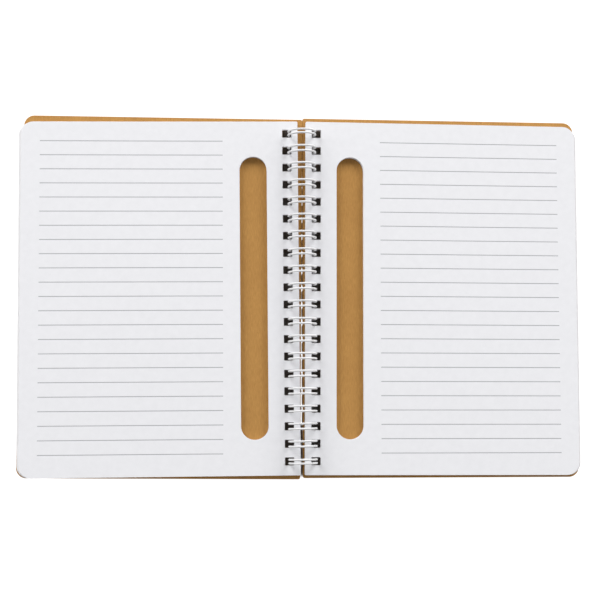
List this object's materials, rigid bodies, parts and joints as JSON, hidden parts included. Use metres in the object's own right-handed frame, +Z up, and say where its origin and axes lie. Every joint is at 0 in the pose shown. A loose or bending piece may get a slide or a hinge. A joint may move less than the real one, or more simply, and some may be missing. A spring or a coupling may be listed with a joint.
{
  "type": "wire-bound notebook",
  "caption": "Lined notebook lying open, with kraft board covers and two page stacks on a white twin-loop wire; a slot cut through the pages holds a pen.",
  "frame": {"origin": "on the table, under the middle of the binding, at the bottom centre of the open notebook", "axes": "+X across the open notebook from the left page to the right page, +Y along the binding towards the head of the pages, +Z up out of the pages"},
  "size_m": [0.2774, 0.1785, 0.0142],
  "materials": {
    "white_wire": "smooth white nylon coating on steel wire",
    "kraft_board": "uncoated brown kraft board with fine fibres",
    "lined_paper": "smooth uncoated white paper with thin grey ruled lines"
  },
  "bodies": {
    "binding": {"wire_binding": "white_wire"},
    "front_cover": {"front_cover": "kraft_board"},
    "left_pages": {"left_pages": "lined_paper"},
    "back_cover": {"back_cover": "kraft_board"},
    "right_pages": {"right_pages": "lined_paper"}
  },
  "joints": [
    {"name": "front_cover_turn", "type": "hinge", "parent": "binding", "child": "front_cover", "pos_m": [0, 0, 0.00715], "axis": [0, 1, 0], "range_deg": [0, 182]},
    {"name": "left_pages_turn", "type": "hinge", "parent": "front_cover", "child": "left_pages", "pos_m": [0, 0, 0.00715], "axis": [0, 1, 0], "range_deg": [0, 178]},
    {"name": "back_cover_turn", "type": "hinge", "parent": "binding", "child": "back_cover", "pos_m": [0, 0, 0.00715], "axis": [0, -1, 0], "range_deg": [0, 182]},
    {"name": "right_pages_turn", "type": "hinge", "parent": "back_cover", "child": "right_pages", "pos_m": [0, 0, 0.00715], "axis": [0, -1, 0], "range_deg": [0, 178]}
  ]
}
